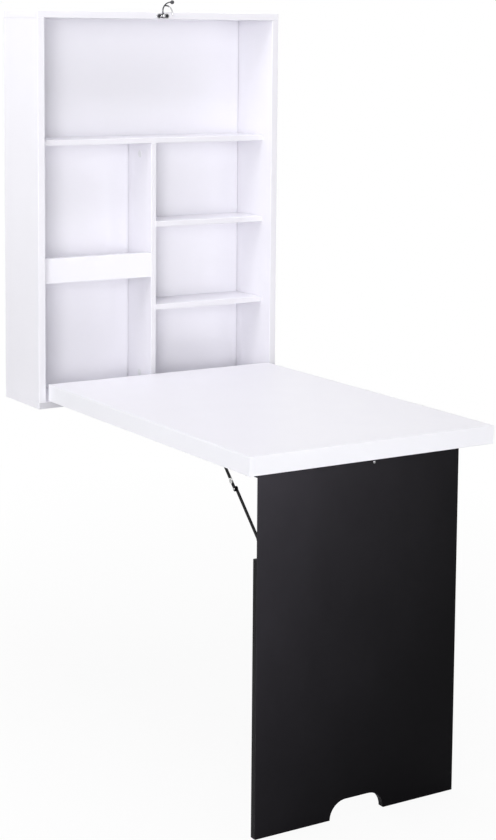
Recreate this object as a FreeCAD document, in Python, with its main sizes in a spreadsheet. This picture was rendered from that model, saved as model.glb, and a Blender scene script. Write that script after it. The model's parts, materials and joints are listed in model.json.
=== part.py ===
"""A fold down wall desk: a shallow cabinet with shelves, a desk that folds up into it on butt hinges, and a
leg that folds back into the desk's underside and is braced by a pair of two-arm folding stays.

Millimetres. X runs to the right, Y into the wall, Z up. The origin is the middle of the wall cleat's line of
screw holes, on the wall plane. The desk is modelled unfolded, standing on its leg.
"""

import FreeCAD
import Part
import Sketcher
import os
import re

Vector = FreeCAD.Vector
Rotation = FreeCAD.Rotation

X_AXIS = Vector(1, 0, 0)
Y_AXIS = Vector(0, 1, 0)
Z_AXIS = Vector(0, 0, 1)

# Which way a bar grows from its starting point.
WAYS = {
    "left": Rotation(Z_AXIS, -X_AXIS),
    "right": Rotation(Z_AXIS, X_AXIS),
    "front": Rotation(Z_AXIS, -Y_AXIS),
    "back": Rotation(Z_AXIS, Y_AXIS),
    "down": Rotation(X_AXIS, 180),
    "up": Rotation(),
}
SIDES = (("left", -1), ("right", 1))
INWARD = {-1: "right", 1: "left"}

# Small fittings are turned as prisms with this many sides, except where something turns on them.
HEX = 6
PEG = 8
HEAD = 12
EYE = 16
LOBE = 24

# Driving dimensions, one cell each.
SIZES = {
    # cabinet
    "cabinet_width": 600,
    "cabinet_depth": 168,
    "floor_clearance": 686,
    "side_thickness": 16,
    "deck_thickness": 15,
    "shelf_thickness": 12,
    "divider_thickness": 12,
    "edge_chamfer": 0.6,
    "back_thickness": 4,
    "back_cavity": 20,
    "groove_depth": 6,
    "upper_shelf_height": 561,
    "left_shelf_height": 296,
    "apron_height": 54,
    "apron_rise": 10,
    "apron_thickness": 12,
    # wall fixing
    "hanging_rail_height": 70,
    "cleat_height": 70,
    "lower_rail_height": 60,
    "rail_end_gap": 3,
    "cleat_screw_drop": 95,
    "cleat_screw_margin": 41,
    "cleat_screw_radius": 2.75,
    # knock-down fittings
    "cam_radius": 6,
    "cam_skin": 2.5,
    "cam_inset": 26,
    "bolt_radius": 2.5,
    "dowel_radius": 3,
    "dowel_reach": 17,
    "dowel_margin": 23.5,
    "fitting_seat": 9,
    "joint_screw_radius": 2.5,
    "joint_screw_length": 50,
    "joint_screw_head_radius": 4.5,
    "joint_screw_head_depth": 5,
    "joint_screw_margin": 28,
    # desk
    "desk_board_thickness": 16,
    "desk_side_gap": 5,
    "desk_top_gap": 2,
    "desk_face_gap": 1,
    "desk_rail_side": 45,
    "desk_rail_front": 45,
    "desk_rail_rear": 22.8,
    "edge_band": 0.8,
    # leg
    "leg_board_thickness": 12,
    "chalkboard_thickness": 3,
    "leg_side_gap": 3,
    "leg_front_gap": 2,
    "leg_end_gap": 3,
    "leg_top_gap": 0.2,
    "leg_recess_gap": 0.6,
    "foot_cut_radius": 36,
    "foot_cut_width": 125,
    "notch_side_gap": 2.5,
    "notch_top_gap": 1.3,
    "notch_bottom_gap": 31.5,
    "chalk_screw_x": 29,
    "chalk_screw_drop": 37,
    # butt hinges
    "hinge_length": 60,
    "hinge_leaf_width": 20,
    "hinge_leaf_thickness": 1.2,
    "hinge_barrel_radius": 2.2,
    "hinge_pin_radius": 1.1,
    "pin_clearance": 0.05,
    "knuckle_gap": 0.3,
    "hinge_screw_span": 36,
    "hinge_screw_edge": 7.6,
    "desk_hinge_inset": 89,
    "leg_hinge_inset": 106,
    # wood screws
    "wood_screw_radius": 1.6,
    "wood_screw_head_radius": 3,
    "wood_screw_head_depth": 1,
    "wood_screw_length": 10,
    # folding stays
    "stay_reach": 135,
    "stay_drop": 152.5,
    "stay_inset": 7.5,
    "arm_width": 7,
    "arm_thickness": 2,
    "arm_eye_radius": 5,
    "bracket_thickness": 1.5,
    "bracket_foot_width": 16,
    "bracket_foot_length": 36,
    "bracket_screw_edge": 7,
    "rivet_radius": 2,
    "rivet_head_radius": 3.5,
    "rivet_head_height": 1,
    "rivet_clearance": 0.06,
    "rivet_play": 0.1,
    "stack_gap": 0.2,
    "stack_start": 4.5,
    "elbow_washer": 1.2,
    "elbow_washer_radius": 4,
    "lock_rivet_radius": 5.5,
    "lock_rivet_height": 1.2,
    "lock_rivet_distance": 18,
    # latch
    "latch_drop": 8.3,
    "latch_plate_thickness": 1.8,
    "latch_plate_lobe": 6.4,
    "latch_screw_spread": 9.7,
    "latch_boss_radius": 4.6,
    "latch_boss_height": 3.4,
    "latch_screw_head_radius": 4.5,
    "latch_screw_head_height": 1.4,
    "latch_hub_radius": 5.2,
    "latch_thickness": 3,
    "latch_pivot_radius": 1.5,
    "latch_cap_radius": 3.3,
    "latch_cap_height": 1.2,
    "latch_lever_radius": 20,
    "latch_lever_width": 3.5,
    "latch_lever_start": 90,
    "latch_lever_sweep": 117,
    "latch_knob_radius": 4.4,
    "latch_claw_radius": 16.8,
    "latch_claw_width": 3,
    "latch_claw_start": -12,
    "latch_claw_sweep": 114,
}

# Places and sizes that follow from the driving dimensions.
PLACES = {
    # the leg's length sets the desk's, and the desk's sets the cabinet's height
    "leg_thickness": "leg_board_thickness + chalkboard_thickness",
    "recess_height": "leg_thickness + 2 * hinge_barrel_radius + leg_recess_gap",
    "desk_thickness": "desk_board_thickness + recess_height",
    "recess_ceiling_height": "floor_clearance + deck_thickness + hinge_barrel_radius + recess_height",
    "leg_height": "recess_ceiling_height - leg_top_gap",
    "folded_leg_reach": "recess_ceiling_height - hinge_barrel_radius",
    "leg_setback": "desk_rail_front + leg_front_gap + leg_thickness + hinge_barrel_radius",
    "desk_length": "leg_setback + folded_leg_reach + leg_end_gap + desk_rail_rear",
    "inner_height": "desk_length + desk_top_gap + 2 * hinge_barrel_radius",
    "cabinet_height": "inner_height + 2 * deck_thickness",
    # cabinet
    "cabinet_top": "cleat_screw_drop",
    "cabinet_bottom": "cabinet_top - cabinet_height",
    "deck_top": "cabinet_bottom + deck_thickness",
    "ceiling": "cabinet_top - deck_thickness",
    "outer_half": "cabinet_width / 2",
    "inner_half": "outer_half - side_thickness",
    "divider_half": "divider_thickness / 2",
    "front_plane": "-cabinet_depth",
    "back_front": "-back_cavity - back_thickness",
    "shelf_front": "front_plane + desk_thickness + desk_face_gap",
    "cam_y": "(back_front + shelf_front) / 2",
    "dowel_y": "back_front - dowel_margin",
    "upper_shelf_level": "cabinet_bottom + upper_shelf_height",
    "left_shelf_level": "cabinet_bottom + left_shelf_height",
    "apron_top": "left_shelf_level + shelf_thickness + apron_rise",
    "right_clear": "(upper_shelf_level - deck_top - 2 * shelf_thickness) / 3",
    "right_lower_level": "deck_top + right_clear",
    "right_upper_level": "right_lower_level + shelf_thickness + right_clear",
    "rail_half": "inner_half - rail_end_gap",
    "bevel_low": "ceiling - hanging_rail_height",
    "bevel_high": "bevel_low + back_cavity",
    "cleat_screw_spacing": "2 * (rail_half - cleat_screw_margin) / 3",
    # desk
    "desk_pin_z": "deck_top + hinge_barrel_radius",
    "desk_rear": "front_plane - hinge_barrel_radius",
    "desk_front": "desk_rear - desk_length",
    "desk_half": "inner_half - desk_side_gap",
    "desk_core_half": "desk_half - edge_band",
    "desk_core_front": "desk_front + edge_band",
    "desk_core_rear": "desk_rear - edge_band",
    "recess_ceiling": "desk_pin_z + recess_height",
    "desk_surface": "recess_ceiling + desk_board_thickness",
    "recess_half": "desk_half - desk_rail_side",
    "recess_front": "desk_front + desk_rail_front",
    "recess_rear": "desk_rear - desk_rail_rear",
    "desk_hinge_x": "desk_half - desk_hinge_inset",
    # leg
    "leg_half": "recess_half - leg_side_gap",
    "leg_front": "recess_front + leg_front_gap",
    "leg_core": "leg_front + chalkboard_thickness",
    "leg_rear": "leg_core + leg_board_thickness",
    "leg_pin_y": "leg_rear + hinge_barrel_radius",
    "leg_pin_z": "recess_ceiling - hinge_barrel_radius",
    "leg_top": "recess_ceiling - leg_top_gap",
    "leg_hinge_x": "leg_half - leg_hinge_inset",
    # folding stays: straight from bracket to bracket when the leg stands, flat in the recess when folded
    "stay_desk_y": "leg_pin_y + stay_reach",
    "stay_desk_z": "leg_pin_z - stay_inset",
    "stay_leg_y": "leg_pin_y - stay_inset",
    "stay_leg_z": "leg_pin_z - stay_drop",
    "stay_run": "stay_reach + stay_inset",
    "stay_fall": "stay_drop - stay_inset",
    "stay_span": "sqrt(stay_run ^ 2 + stay_fall ^ 2)",
    "stay_slope": "atan(stay_fall / stay_run) / 1 deg",
    "upper_arm_length": "(stay_span + stay_reach - stay_drop) / 2",
    "lower_arm_length": "stay_span - upper_arm_length",
    "elbow_y": "stay_desk_y - stay_run * upper_arm_length / stay_span",
    "elbow_z": "stay_desk_z - stay_fall * upper_arm_length / stay_span",
    "lock_share": "(upper_arm_length - lock_rivet_distance) / stay_span",
    "lock_y": "stay_desk_y - stay_run * lock_share",
    "lock_z": "stay_desk_z - stay_fall * lock_share",
    # the stay's stack across its pivots, measured in from the recess wall
    "desk_ear_end": "stack_start + bracket_thickness",
    "upper_arm_start": "desk_ear_end + stack_gap",
    "upper_arm_end": "upper_arm_start + arm_thickness",
    "lower_arm_start": "upper_arm_end + elbow_washer + stack_gap",
    "lower_arm_end": "lower_arm_start + arm_thickness",
    "leg_ear_start": "lower_arm_end + stack_gap",
    "leg_ear_end": "leg_ear_start + bracket_thickness",
    # notches in the leg that the folded stays lie in
    "desk_foot_end": "stack_start + bracket_foot_width",
    "notch_wall": "desk_foot_end + notch_side_gap",
    "leg_foot_end": "notch_wall + bracket_foot_width",
    "notch_depth": "notch_wall - leg_side_gap",
    "folded_elbow": "stay_reach - upper_arm_length",
    "notch_start": "folded_elbow - arm_eye_radius - notch_top_gap + hinge_barrel_radius - leg_top_gap",
    "notch_end": "stay_drop + arm_eye_radius + notch_bottom_gap + hinge_barrel_radius - leg_top_gap",
    # latch
    "latch_z": "cabinet_top - latch_drop",
    "latch_plate_front": "front_plane - latch_plate_thickness",
    "latch_hook_rear": "front_plane - latch_boss_height - stack_gap",
    "latch_hook_front": "latch_hook_rear - latch_thickness",
    "latch_lever_x": "latch_lever_radius - latch_lever_width * 0.75",
    "latch_lever_z": "latch_lever_radius / 2",
    "latch_claw_x": "latch_claw_radius - latch_lever_width * 3.4",
    "latch_claw_z": "latch_claw_radius / 3",
}

DOC = FreeCAD.newDocument("fold_down_wall_desk")
SHEET = DOC.addObject("Spreadsheet::Sheet", "Sizes")
DERIVED = DOC.addObject("App::VarSet", "Places")
NODES = []


# ---------------------------------------------------------------- sheet


def refer(text):
    """The expression text with each size and place named in full."""

    def owner(match):
        word = match.group()
        if word in SIZES:
            return "Sizes." + word
        if word in PLACES:
            return "Places." + word
        return word

    return re.sub(r"[A-Za-z_]\w*", owner, str(text))


def fill_tables():
    """Writes the driving sizes to the sheet and binds the places to them."""
    for row, (alias, size) in enumerate(SIZES.items(), 1):
        SHEET.set("A%d" % row, alias.replace("_", " "))
        SHEET.set("B%d" % row, str(size))
        SHEET.setAlias("B%d" % row, alias)
    DOC.recompute()
    for name, text in PLACES.items():
        DERIVED.addProperty("App::PropertyFloat", name)
        DERIVED.setExpression(name, refer(text))
    DOC.recompute()


def bind(item, **texts):
    for name, text in texts.items():
        item.setExpression(name, refer(text))
    return item


def place(item, x=0, y=0, z=0, turn=None):
    """Turns an object and binds its position to the sheet."""
    item.Placement = FreeCAD.Placement(Vector(), turn or Rotation())
    for axis, text in zip("xyz", (x, y, z)):
        item.setExpression("Placement.Base." + axis, refer(text))
    return item


def node(label, item):
    """Marks an object as a finished piece, whose Label names its file."""
    item.Label = label
    NODES.append(item)
    return item


# ---------------------------------------------------------------- primitives and booleans


def block(name, x0, x1, y0, y1, z0, z1):
    """A box between two named planes on each axis."""
    spans = ["(%s) - (%s)" % (high, low) for low, high in ((x0, x1), (y0, y1), (z0, z1))]
    item = DOC.addObject("Part::Box", name)
    bind(item, Length=spans[0], Width=spans[1], Height=spans[2])
    return place(item, x0, y0, z0)


def bar(name, radius, length, x, y, z, way, sides=0):
    """A round bar, or a prism with that many sides, from a point along one of the WAYS."""
    if sides:
        item = bind(DOC.addObject("Part::Prism", name), Circumradius=radius, Height=length)
        item.Polygon = sides
    else:
        item = bind(DOC.addObject("Part::Cylinder", name), Radius=radius, Height=length)
    return place(item, x, y, z, WAYS[way])


def group(name, items):
    item = DOC.addObject("Part::Compound", name)
    item.Links = items
    return item


def fuse(name, items):
    item = DOC.addObject("Part::MultiFuse", name)
    item.Shapes = items
    return item


def cut(name, base, tools):
    """The base without its tools, which are the pieces that seat in it or plain cutters."""
    item = DOC.addObject("Part::Cut", name)
    item.Base = base
    item.Tool = tools[0] if len(tools) == 1 else group(name + "_tools", tools)
    return item


# ---------------------------------------------------------------- sketched bodies


def new_body(name):
    return DOC.addObject("PartDesign::Body", name)


def new_sketch(body, role, name):
    sketch = body.newObject("Sketcher::SketchObject", name)
    plane = [item for item in body.Origin.OriginFeatures if item.Role == role][0]
    sketch.AttachmentSupport = [(plane, "")]
    sketch.MapMode = "FlatFace"
    return sketch


def constrain(sketch, kind, text, *points):
    """Adds a named dimension and binds it to the sheet."""
    index = sketch.addConstraint(Sketcher.Constraint(kind, *points, 1.0))
    name = "%s_%d" % (kind, index)
    sketch.renameConstraint(index, name)
    sketch.setExpression("Constraints." + name, refer(text))


def fix_point(sketch, index, corner, x, y):
    """Fixes one point of the sketch at x and y from its origin."""
    constrain(sketch, "DistanceX", x, -1, 1, index, corner)
    constrain(sketch, "DistanceY", y, -1, 1, index, corner)


def outline(body, role, name, points):
    """A sketch of a closed outline through points given as pairs of texts."""
    sketch = new_sketch(body, role, name)
    count = len(points)
    for i in range(count):
        sketch.addGeometry(Part.LineSegment(Vector(i, i * i, 0), Vector(i + 1, (i + 1) ** 2, 0)), False)
    for i in range(count):
        sketch.addConstraint(Sketcher.Constraint("Coincident", i, 2, (i + 1) % count, 1))
    for i, (x, y) in enumerate(points):
        fix_point(sketch, i, 1, x, y)
    return sketch


def rectangle(body, role, name, x0, x1, y0, y1):
    return outline(body, role, name, [(x0, y0), (x1, y0), (x1, y1), (x0, y1)])


def circle(body, role, name, x, y, radius):
    sketch = new_sketch(body, role, name)
    sketch.addGeometry(Part.Circle(Vector(1, 1, 0), Z_AXIS, 1), False)
    fix_point(sketch, 0, 3, x, y)
    constrain(sketch, "Radius", radius, 0)
    return sketch


def pad(body, sketch, length):
    feature = body.newObject("PartDesign::Pad", sketch.Name + "_pad")
    feature.Profile = sketch
    return bind(feature, Length=length)


def pocket(body, sketch, length):
    """Cuts from the sketch's plane, the way a pad from it grows."""
    feature = body.newObject("PartDesign::Pocket", sketch.Name + "_pocket")
    feature.Profile = sketch
    feature.Reversed = True
    return bind(feature, Length=length)


def board(name, x0, x1, y0, y1, z0, z1):
    """A board with all its edges eased, between two named planes on each axis."""
    body = new_body(name)
    width, depth, height = ["(%s) - (%s)" % (high, low) for low, high in ((x0, x1), (y0, y1), (z0, z1))]
    base = pad(body, rectangle(body, "XY_Plane", name + "_outline", "0", width, "0", depth), height)
    DOC.recompute()
    eased = body.newObject("PartDesign::Chamfer", name + "_eased")
    eased.Base = (base, ["Edge%d" % number for number in range(1, 13)])
    bind(eased, Size="edge_chamfer")
    return place(body, x0, y0, z0)


# ---------------------------------------------------------------- wall fixing


def bevelled_rail(label, points):
    """A rail as wide as the cabinet's inside, from its section seen from the side."""
    body = new_body(label + "_rail")
    pad(body, outline(body, "YZ_Plane", label + "_section", points), "2 * rail_half")
    return place(body, "-rail_half")


def wall_fixing():
    """Hanging rail and wall cleat, hooked together on a 45 degree bevel, and a lower rail."""
    rail = [("0", "bevel_low"), ("-back_cavity", "bevel_high"), ("-back_cavity", "ceiling"), ("0", "ceiling")]
    node("hanging_rail", bevelled_rail("hanging", rail))

    foot = "bevel_high - cleat_height"
    cleat = [("0", "bevel_low"), ("0", foot), ("-back_cavity", foot), ("-back_cavity", "bevel_high")]
    holes = []
    for i in range(4):
        x = "%s * cleat_screw_spacing" % (i - 1.5)
        holes.append(bar("cleat_hole_%d" % i, "cleat_screw_radius", "back_cavity", x, "0", "0", "front"))
    node("wall_cleat", cut("cleat_drilled", bevelled_rail("cleat", cleat), holes))

    lower = ("-rail_half", "rail_half", "-back_cavity", "0", "deck_top", "deck_top + lower_rail_height")
    node("lower_rail", board("lower_rail_board", *lower))


# ---------------------------------------------------------------- cabinet


def shelf_joints():
    """Each shelf end: the face it butts against, the way into the shelf, its sign, and its underside."""
    right_face = ("inner_half", "left", -1)
    left_face = ("-inner_half", "right", 1)
    joints = [(left_face, "upper_shelf_level"), (right_face, "upper_shelf_level")]
    joints += [(left_face, "left_shelf_level"), (("-divider_half", "left", -1), "left_shelf_level")]
    for level in ("right_lower_level", "right_upper_level"):
        joints += [(("divider_half", "right", 1), level), (right_face, level)]
    return joints


def across_joint(name, radius, reach, x, y, z, way, sides):
    """A peg that crosses a butt joint: fitting_seat deep in one board, then on along the way."""
    seat = {"left": (1, 0), "right": (-1, 0), "up": (0, -1), "down": (0, 1)}[way]
    start_x = "(%s) + %d * fitting_seat" % (x, seat[0])
    start_z = "(%s) + %d * fitting_seat" % (z, seat[1])
    return bar(name, radius, reach + " + fitting_seat", start_x, y, start_z, way, sides)


def shelf_fittings():
    """A cam with its bolt and a dowel in every shelf end and at the divider's top and foot."""
    cams = []
    bolts = []
    dowels = []
    bolt = ("bolt_radius", "cam_inset - cam_radius")
    dowel = ("dowel_radius", "dowel_reach")
    for i, ((face, way, sign), level) in enumerate(shelf_joints()):
        middle = level + " + shelf_thickness / 2"
        cam_x = "%s + %d * cam_inset" % (face, sign)
        height = "shelf_thickness - cam_skin"
        cams.append(bar("cam_%d" % i, "cam_radius", height, cam_x, "cam_y", level, "up", HEAD))
        bolts.append(across_joint("bolt_%d" % i, *bolt, face, "cam_y", middle, way, HEX))
        dowels.append(across_joint("dowel_%d" % i, *dowel, face, "dowel_y", middle, way, PEG))
    height = "divider_thickness - cam_skin"
    for face, way, sign in (("upper_shelf_level", "down", -1), ("deck_top", "up", 1)):
        cam_z = "%s + %d * cam_inset" % (face, sign)
        cams.append(bar("cam_" + way, "cam_radius", height, "-divider_half", "cam_y", cam_z, "right", HEAD))
        bolts.append(across_joint("bolt_" + way, *bolt, "0", "cam_y", face, way, HEX))
        dowels.append(across_joint("dowel_" + way, *dowel, "0", "dowel_y", face, way, PEG))
    return (
        node("cam_locks", group("cams", cams)),
        node("cam_bolts", group("bolts", bolts)),
        node("dowels", group("all_dowels", dowels)),
    )


def carcass_screws():
    """Long screws down through the top and up through the bottom into the side panels' ends."""
    screws = []
    rows = ("-back_cavity - joint_screw_margin", "front_plane + joint_screw_margin")
    for side, sign in SIDES:
        x = "%d * (outer_half - side_thickness / 2)" % sign
        for i, y in enumerate(rows):
            for z, way in (("cabinet_top", "down"), ("cabinet_bottom", "up")):
                name = "joint_screw_%s_%d_%s" % (side, i, way)
                shank = bar(name + "_shank", "joint_screw_radius", "joint_screw_length", x, y, z, way, HEX)
                radius = "joint_screw_head_radius"
                head = bar(name + "_head", radius, "joint_screw_head_depth", x, y, z, way, PEG)
                screws.append(fuse(name, [shank, head]))
    return node("assembly_screws", group("joint_screws", screws))


def back_panel():
    half = "(inner_half + groove_depth)"
    low = "deck_top - groove_depth"
    high = "ceiling + groove_depth"
    return node("back_panel", block("back_sheet", "-" + half, half, "back_front", "-back_cavity", low, high))


def cabinet(hinge_screws, latch_screws):
    """The carcass boards, each grooved and drilled for what seats in it."""
    wall_fixing()
    back = back_panel()
    cams, bolts, dowels = shelf_fittings()
    screws = carcass_screws()
    pegs = [bolts, dowels]
    side = ("front_plane", "0", "deck_top", "ceiling")
    left = board("left_side", "-outer_half", "-inner_half", *side)
    node("side_panel_left", cut("left_side_drilled", left, [back, screws] + pegs))
    right = board("right_side", "inner_half", "outer_half", *side)
    node("side_panel_right", cut("right_side_drilled", right, [back, screws] + pegs))
    deck = ("-outer_half", "outer_half", "front_plane", "0")
    top = board("top", *deck, "ceiling", "cabinet_top")
    node("top_panel", cut("top_drilled", top, [back, screws, latch_screws]))
    bottom = board("bottom", *deck, "cabinet_bottom", "deck_top")
    node("bottom_panel", cut("bottom_drilled", bottom, [back, screws, hinge_screws] + pegs))

    shelves = {
        "upper_shelf": ("-inner_half", "inner_half", "shelf_front", "upper_shelf_level"),
        "left_shelf": ("-inner_half", "-divider_half", "shelf_front + apron_thickness", "left_shelf_level"),
        "right_shelf_lower": ("divider_half", "inner_half", "shelf_front", "right_lower_level"),
        "right_shelf_upper": ("divider_half", "inner_half", "shelf_front", "right_upper_level"),
    }
    for label, (x0, x1, front, level) in shelves.items():
        shelf = board(label + "_board", x0, x1, front, "back_front", level, level + " + shelf_thickness")
        node(label, cut(label + "_drilled", shelf, [cams] + pegs))
    standing = ("-divider_half", "divider_half", "shelf_front", "back_front", "deck_top", "upper_shelf_level")
    node("centre_divider", cut("divider_drilled", board("divider", *standing), [cams] + pegs))
    apron = ("-inner_half", "-divider_half", "shelf_front", "shelf_front + apron_thickness")
    node("shelf_apron", board("apron", *apron, "apron_top - apron_height", "apron_top"))


# ---------------------------------------------------------------- screws and hinges


def wood_screw(name, x, y, z, way):
    """A screw sunk flush, from the middle of its head."""
    depth = "wood_screw_head_depth"
    head = bar(name + "_head", "wood_screw_head_radius", depth, x, y, z, way, PEG)
    shank = bar(name + "_shank", "wood_screw_radius", "wood_screw_length", x, y, z, way, HEX)
    return fuse(name, [head, shank])


def hinge_leaf(name, slots, x, y, z, turn):
    """A butt hinge leaf: plate with a barrel rolled along one edge, slotted for the other leaf's knuckles.

    The pin's axis is the body's X axis, and the plate lies under it and reaches along +Y.
    """
    low = "-hinge_barrel_radius"
    high = "hinge_leaf_thickness - hinge_barrel_radius"
    plate = block(name + "_plate", "0", "hinge_length", "0", "hinge_leaf_width", low, high)
    axis = ("0", "0", "0", "right")
    barrel = bar(name + "_barrel", "hinge_barrel_radius", "hinge_length", *axis, EYE)
    bore = bar(name + "_bore", "hinge_pin_radius + pin_clearance", "hinge_length", *axis)
    rolled = cut(name + "_rolled", fuse(name + "_blank", [plate, barrel]), [bore])
    clear = "hinge_barrel_radius + knuckle_gap"
    across = ("-(%s)" % clear, clear, "-(%s)" % clear, clear)
    gaps = [block("%s_slot_%d" % (name, i), start, end, *across) for i, (start, end) in enumerate(slots)]
    return place(cut(name, rolled, gaps), x, y, z, turn)


def hinge_pair(name, x, y, z, leaves):
    """Two butt hinges on one axis. Each leaf gives its name, its turn and where its screws sit.

    The first leaf has the two end knuckles and holds the pin, the second has the middle knuckle.
    """
    third = "hinge_length / 3"
    ends = [(third + " - knuckle_gap / 2", "2 * %s + knuckle_gap / 2" % third)]
    middle = [("-1", third + " + knuckle_gap / 2"), ("2 * %s - knuckle_gap / 2" % third, "hinge_length + 1")]
    pins = []
    made = {leaf["name"]: ([], []) for leaf in leaves}
    for side, sign in SIDES:
        centre = "%d * %s" % (sign, x)
        start = centre + " - hinge_length / 2"
        pins.append(bar("%s_pin_%s" % (name, side), "hinge_pin_radius", "hinge_length", start, y, z, "right"))
        for leaf, slots in zip(leaves, (ends, middle)):
            plates, screws = made[leaf["name"]]
            label = "%s_%s_%s" % (name, leaf["name"], side)
            base = centre + (" + hinge_length / 2" if leaf["flipped"] else " - hinge_length / 2")
            plates.append(hinge_leaf(label, slots, base, y, z, leaf["turn"]))
            for step in (-1, 1):
                screw_x = "%s + %d * hinge_screw_span / 2" % (centre, step)
                screw_name = "%s_screw_%d" % (label, step + 1)
                screws.append(wood_screw(screw_name, screw_x, leaf["screw_y"], leaf["screw_z"], leaf["way"]))
    node(name + "_pins", group(name + "_pin_pair", pins))
    for leaf in leaves:
        plates, screws = made[leaf["name"]]
        label = "%s_%s" % (name, leaf["name"])
        leaf["screws"] = node(label + "_screws", group(label + "_screw_set", screws))
        pierced = cut(label + "_pierced", group(label + "_plates", plates), [leaf["screws"]])
        node(label + "_leaves", pierced)
    return [leaf["screws"] for leaf in leaves]


LEAF_REACH = "(hinge_leaf_width - hinge_screw_edge)"
LEAF_FACE = "(hinge_barrel_radius - hinge_leaf_thickness)"


def desk_hinges():
    """The cabinet's leaves lie on its bottom panel, the desk's stand against its rear edge."""
    on_cabinet = {
        "name": "cabinet",
        "turn": Rotation(),
        "flipped": False,
        "screw_y": "front_plane + " + LEAF_REACH,
        "screw_z": "desk_pin_z - " + LEAF_FACE,
        "way": "down",
    }
    on_desk = {
        "name": "desk",
        "turn": Rotation(Vector(0, 1, 1), 180),
        "flipped": True,
        "screw_y": "front_plane - " + LEAF_FACE,
        "screw_z": "desk_pin_z + " + LEAF_REACH,
        "way": "front",
    }
    return hinge_pair("desk_hinge", "desk_hinge_x", "front_plane", "desk_pin_z", [on_cabinet, on_desk])


def leg_hinges():
    """The desk's leaves lie on the recess ceiling, the leg's hang down its rear face."""
    on_desk = {
        "name": "desk",
        "turn": Rotation(Y_AXIS, 180),
        "flipped": True,
        "screw_y": "leg_pin_y + " + LEAF_REACH,
        "screw_z": "leg_pin_z + " + LEAF_FACE,
        "way": "up",
    }
    on_leg = {
        "name": "leg",
        "turn": Rotation(X_AXIS, -90),
        "flipped": False,
        "screw_y": "leg_pin_y - " + LEAF_FACE,
        "screw_z": "leg_pin_z - " + LEAF_REACH,
        "way": "front",
    }
    return hinge_pair("leg_hinge", "leg_hinge_x", "leg_pin_y", "leg_pin_z", [on_desk, on_leg])


# ---------------------------------------------------------------- desk


def desk(rear_screws, ceiling_screws):
    """Top board on a frame of rails, wrapped by one edge band."""
    half = "desk_core_half"
    front = "desk_core_front"
    rear = "desk_core_rear"
    top = block("desk_top", "-" + half, half, front, rear, "recess_ceiling", "desk_surface")
    node("desk_board", cut("desk_top_drilled", top, ceiling_screws))
    heights = ("desk_pin_z", "recess_ceiling")
    node("desk_rail_left", block("left_rail", "-" + half, "-recess_half", front, rear, *heights))
    node("desk_rail_right", block("right_rail", "recess_half", half, front, rear, *heights))
    across = ("-recess_half", "recess_half")
    node("desk_rail_front", block("front_rail", *across, front, "recess_front", *heights))
    rear_rail = block("rear_rail", *across, "recess_rear", rear, *heights)
    node("desk_rail_rear", cut("rear_rail_drilled", rear_rail, [rear_screws]))

    heights = ("desk_pin_z", "desk_surface")
    solid = board("band_outside", "-desk_half", "desk_half", "desk_front", "desk_rear", *heights)
    inside = block("band_inside", "-" + half, half, front, rear, *heights)
    node("desk_edge_band", cut("band", solid, [inside, rear_screws]))


# ---------------------------------------------------------------- leg


def foot_cut(body, name, thickness):
    """The opening at the leg's foot: a flat top between two quarter rounds."""
    flat = "(foot_cut_width / 2 - foot_cut_radius)"
    foot = "-leg_height"
    top = foot + " + foot_cut_radius"
    middle = rectangle(body, "XZ_Plane", name + "_foot", "-" + flat, flat, foot + " - 1", top)
    pocket(body, middle, thickness)
    for side, sign in SIDES:
        x = "%d * %s" % (sign, flat)
        round_end = circle(body, "XZ_Plane", "%s_foot_%s" % (name, side), x, foot, "foot_cut_radius")
        pocket(body, round_end, thickness)


def leg_sheet(name, points, thickness, rear):
    """One of the leg's two boards, from its outline below the leg's top."""
    body = new_body(name)
    pad(body, outline(body, "XZ_Plane", name + "_outline", points), thickness)
    foot_cut(body, name, thickness)
    return place(body, 0, rear, "leg_top")


def leg(board_screws, chalk_screw):
    """Backing board with a notch each side for the stays, faced by the chalkboard."""
    half = "leg_half"
    inset = "(leg_half - notch_depth)"
    notch = [(half, "-notch_start"), (inset, "-notch_start"), (inset, "-notch_end"), (half, "-notch_end")]
    right = [(half, "0")] + notch + [(half, "-leg_height")]
    left = [("-" + x, z) for x, z in reversed(right)]
    backing = leg_sheet("leg_backing", right + left, "leg_board_thickness", "leg_rear")
    node("leg_board", cut("leg_backing_drilled", backing, board_screws + [chalk_screw]))
    corners = [right[0], right[-1], left[0], left[-1]]
    face = leg_sheet("chalk_face", corners, "chalkboard_thickness", "leg_core")
    node("chalkboard", cut("chalk_face_drilled", face, [chalk_screw]))


def chalkboard_screw():
    """A small dome-headed screw that holds the chalkboard to its backing board."""
    z = "leg_top - chalk_screw_drop"
    sunk = "leg_thickness - rivet_radius"
    spot = ("chalk_screw_x", "leg_front", z)
    shank = bar("chalk_shank", "wood_screw_radius", sunk, *spot, "back", HEX)
    head = bar("chalk_head", "rivet_head_radius", "rivet_head_height", *spot, "front", HEAD)
    return node("chalkboard_screw", fuse("chalk_screw", [shank, head]))


# ---------------------------------------------------------------- folding stays


def stay_bar(name, sign, radius, start, end, y, z, sides=0):
    """A bar across the stay's stack, between two depths from the recess wall."""
    x = "%d * (recess_half - (%s))" % (sign, start)
    return bar(name, radius, "(%s) - (%s)" % (end, start), x, y, z, INWARD[sign], sides)


def stay_block(name, sign, start, end, y0, y1, z0, z1):
    """A box across the stay's stack, between two depths from the recess wall."""
    near = "%d * (recess_half - (%s))" % (sign, start)
    far = "%d * (recess_half - (%s))" % (sign, end)
    low, high = (near, far) if sign < 0 else (far, near)
    return block(name, low, high, y0, y1, z0, z1)


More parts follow.
